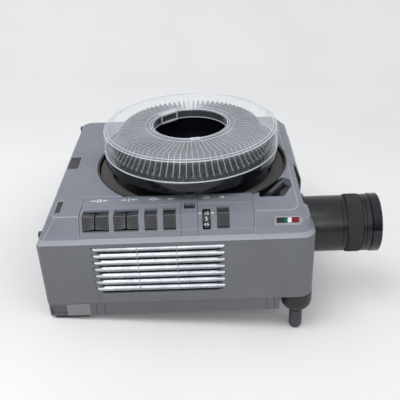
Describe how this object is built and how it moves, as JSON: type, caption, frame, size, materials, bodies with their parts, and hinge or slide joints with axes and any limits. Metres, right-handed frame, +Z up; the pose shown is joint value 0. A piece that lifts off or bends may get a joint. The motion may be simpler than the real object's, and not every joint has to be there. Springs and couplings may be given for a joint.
{
  "type": "slide projector",
  "caption": "Slide projector with a round slide tray under a clear lid, a key panel, a side louvre grille, a long front zoom lens and screw-out front feet.",
  "frame": {"origin": "middle of the bounding box on the plane that the feet stand on", "axes": "+X towards the screen out of the lens, +Z up, -Y the operator side with the key panel; the housing is pitched nose-up by 7.0 degrees on its extended front feet"},
  "size_m": [0.4122, 0.296, 0.2226],
  "materials": {
    "top_grey": "satin",
    "wall_grey": "satin",
    "base_grey": "matt",
    "dark_plastic": "satin",
    "black_plastic": "semi-gloss",
    "key_plastic": "satin",
    "rubber": "matt",
    "silver_trim": "satin",
    "steel": "satin",
    "number_paint": "matt",
    "clear_plastic": "clear",
    "optical_glass": "clear",
    "green_window": "gloss",
    "transformer_metal": "satin",
    "circuit_board": "satin"
  },
  "bodies": {
    "chassis": {"base_plate": "base_grey", "lower_shell": "wall_grey", "top_cover": "top_grey", "vent_grille": "silver_trim", "front_lens_panel": "dark_plastic", "rear_panel": "dark_plastic", "rear_grip_insert": "dark_plastic", "mains_inlet": "black_plastic", "remote_socket": "black_plastic", "key_panel": "top_grey", "gate_index_block": "top_grey", "timer_panel": "top_grey", "status_bezel": "silver_trim", "status_lens": "green_window", "tray_platform": "black_plastic", "index_motor": "steel", "lens_guide": "black_plastic", "heat_filter": "optical_glass", "condenser_lens": "optical_glass", "optics_cradle": "steel", "gate_frame": "steel", "fan_housing": "dark_plastic", "transformer": "transformer_metal", "circuit_board": "circuit_board", "foot_housing_near": "dark_plastic", "foot_housing_far": "dark_plastic", "rear_foot_near": "rubber", "rear_foot_far": "rubber"},
    "power_switch": {"power_switch": "black_plastic"},
    "reverse_key": {"reverse_key": "key_plastic"},
    "forward_key": {"forward_key": "key_plastic"},
    "focus_back_key": {"focus_back_key": "key_plastic"},
    "focus_forward_key": {"focus_forward_key": "key_plastic"},
    "timer_start_key": {"timer_start_key": "key_plastic"},
    "standby_key": {"standby_key": "key_plastic"},
    "timer_wheel": {"timer_wheel": "black_plastic"},
    "lamp_rocker": {"lamp_rocker": "key_plastic"},
    "release_lever": {"release_lever": "dark_plastic"},
    "tray_floor": {"tray_base_plate": "steel"},
    "tray": {"tray_body": "black_plastic"},
    "lock_ring": {"tray_lock_ring": "black_plastic"},
    "lid": {"tray_lid": "clear_plastic"},
    "turntable": {"tray_turntable": "black_plastic"},
    "number_ring": {"number_ring": "number_paint"},
    "index_pinion": {"index_pinion": "black_plastic"},
    "lens": {"lens_barrel": "dark_plastic", "rear_element": "optical_glass"},
    "zoom_ring": {"zoom_ring": "rubber"},
    "lens_front": {"lens_front_barrel": "dark_plastic", "lens_front_ring": "black_plastic", "front_element": "optical_glass"},
    "focus_pinion": {"focus_pinion": "steel"},
    "front_foot_near": {"front_foot_near": "rubber"},
    "front_foot_far": {"front_foot_far": "rubber"},
    "lamp_drawer": {"lamp_module": "dark_plastic", "lamp": "optical_glass", "lamp_reflector": "steel"},
    "shutter": {"shutter": "black_plastic"},
    "lift_arm": {"slide_lift_arm": "steel"},
    "fan": {"fan_impeller": "black_plastic"}
  },
  "joints": [
    {"name": "reverse_key_press", "type": "hinge", "parent": "chassis", "child": "reverse_key", "pos_m": [-0.14746, -0.1216, 0.13805], "axis": [0.9924, 0, 0.1234], "range_deg": [0, 4], "stiffness_Nm_per_rad": 0.6},
    {"name": "forward_key_press", "type": "hinge", "parent": "chassis", "child": "forward_key", "pos_m": [-0.13267, -0.1216, 0.13989], "axis": [0.9924, 0, 0.1234], "range_deg": [0, 4], "stiffness_Nm_per_rad": 0.6},
    {"name": "focus_back_key_press", "type": "hinge", "parent": "chassis", "child": "focus_back_key", "pos_m": [-0.11198, -0.1216, 0.14246], "axis": [0.9924, 0, 0.1234], "range_deg": [0, 4], "stiffness_Nm_per_rad": 0.6},
    {"name": "focus_forward_key_press", "type": "hinge", "parent": "chassis", "child": "focus_forward_key", "pos_m": [-0.09814, -0.1216, 0.14418], "axis": [0.9924, 0, 0.1234], "range_deg": [0, 4], "stiffness_Nm_per_rad": 0.6},
    {"name": "timer_start_key_press", "type": "hinge", "parent": "chassis", "child": "timer_start_key", "pos_m": [-0.077, -0.1216, 0.14681], "axis": [0.9924, 0, 0.1234], "range_deg": [0, 4], "stiffness_Nm_per_rad": 0.6},
    {"name": "standby_key_press", "type": "hinge", "parent": "chassis", "child": "standby_key", "pos_m": [-0.05596, -0.1216, 0.14943], "axis": [0.9924, 0, 0.1234], "range_deg": [0, 4], "stiffness_Nm_per_rad": 0.6},
    {"name": "timer_wheel_turn", "type": "hinge", "parent": "chassis", "child": "timer_wheel", "pos_m": [-0.01341, -0.1324, 0.14797], "axis": [0.9924, 0, 0.1234], "continuous": true},
    {"name": "lamp_rocker_tilt", "type": "hinge", "parent": "chassis", "child": "lamp_rocker", "pos_m": [0.00555, -0.132, 0.14952], "axis": [0.9924, 0, 0.1234], "range_deg": [-3, 3]},
    {"name": "power_switch_tilt", "type": "hinge", "parent": "chassis", "child": "power_switch", "pos_m": [-0.19443, 0.0635, 0.05108], "axis": [0, 1, 0], "range_deg": [0, 12]},
    {"name": "release_lever_pull", "type": "hinge", "parent": "chassis", "child": "release_lever", "pos_m": [0.05817, -0.0962, 0.15909], "axis": [-0.1234, 0, 0.9924], "range_deg": [-9, 0], "stiffness_Nm_per_rad": 0.3},
    {"name": "tray_lift_off", "type": "slide", "parent": "chassis", "child": "tray_floor", "axis": [-0.1234, 0, 0.9924], "range_m": [0, 0.15]},
    {"name": "tray_turn", "type": "hinge", "parent": "tray_floor", "child": "tray", "pos_m": [-0.03336, 0, 0.16584], "axis": [-0.1234, 0, 0.9924], "continuous": true},
    {"name": "lock_ring_twist", "type": "hinge", "parent": "tray", "child": "lock_ring", "pos_m": [-0.03299, 0, 0.16287], "axis": [-0.1234, 0, 0.9924], "range_deg": [0, 30]},
    {"name": "lid_lift", "type": "slide", "parent": "tray", "child": "lid", "axis": [-0.1234, 0, 0.9924], "range_m": [0, 0.08]},
    {"name": "turntable_turn", "type": "hinge", "parent": "chassis", "child": "turntable", "pos_m": [-0.02966, 0, 0.13607], "axis": [-0.1234, 0, 0.9924], "continuous": true},
    {"name": "number_ring_turn", "type": "hinge", "parent": "chassis", "child": "number_ring", "pos_m": [-0.03127, 0, 0.14897], "axis": [-0.1234, 0, 0.9924], "continuous": true},
    {"name": "index_pinion_turn", "type": "hinge", "parent": "chassis", "child": "index_pinion", "pos_m": [-0.02867, 0.051, 0.12813], "axis": [-0.1234, 0, 0.9924], "continuous": true},
    {"name": "lens_focus", "type": "slide", "parent": "chassis", "child": "lens", "axis": [0.9924, 0, 0.1234], "range_m": [-0.012, 0.012]},
    {"name": "focus_pinion_turn", "type": "hinge", "parent": "chassis", "child": "focus_pinion", "pos_m": [0.0797, -0.072, 0.06704], "axis": [0, 1, 0], "range_deg": [-116, 116]},
    {"name": "lens_zoom_travel", "type": "slide", "parent": "lens", "child": "lens_front", "axis": [0.9924, 0, 0.1234], "range_m": [0, 0.008]},
    {"name": "zoom_ring_turn", "type": "hinge", "parent": "lens", "child": "zoom_ring", "pos_m": [0.16953, -0.072, 0.12256], "axis": [0.9924, 0, 0.1234], "range_deg": [0, 61]},
    {"name": "front_foot_near_height", "type": "slide", "parent": "chassis", "child": "front_foot_near", "axis": [-0.1234, 0, 0.9924], "range_m": [-0.004, 0.03]},
    {"name": "front_foot_far_height", "type": "slide", "parent": "chassis", "child": "front_foot_far", "axis": [-0.1234, 0, 0.9924], "range_m": [-0.004, 0.03]},
    {"name": "lamp_drawer_pull", "type": "slide", "parent": "chassis", "child": "lamp_drawer", "axis": [0.9924, 0, 0.1234], "range_m": [-0.1, 0]},
    {"name": "shutter_open", "type": "slide", "parent": "chassis", "child": "shutter", "axis": [0, 1, 0], "range_m": [0, 0.05]},
    {"name": "slide_lift", "type": "slide", "parent": "chassis", "child": "lift_arm", "axis": [-0.1234, 0, 0.9924], "range_m": [0, 0.085]},
    {"name": "fan_spin", "type": "hinge", "parent": "chassis", "child": "fan", "pos_m": [-0.10389, 0.05, 0.03615], "axis": [-0.1234, 0, 0.9924], "continuous": true}
  ],
  "couplings": [
    {"joint": "turntable_turn", "follows": "tray_turn", "ratio": 1},
    {"joint": "number_ring_turn", "follows": "tray_turn", "ratio": 1},
    {"joint": "index_pinion_turn", "follows": "tray_turn", "ratio": -3.25},
    {"joint": "focus_pinion_turn", "follows": "lens_focus", "rad_per_m": 166.67},
    {"joint": "zoom_ring_turn", "follows": "lens_zoom_travel", "rad_per_m": 130.9}
  ]
}
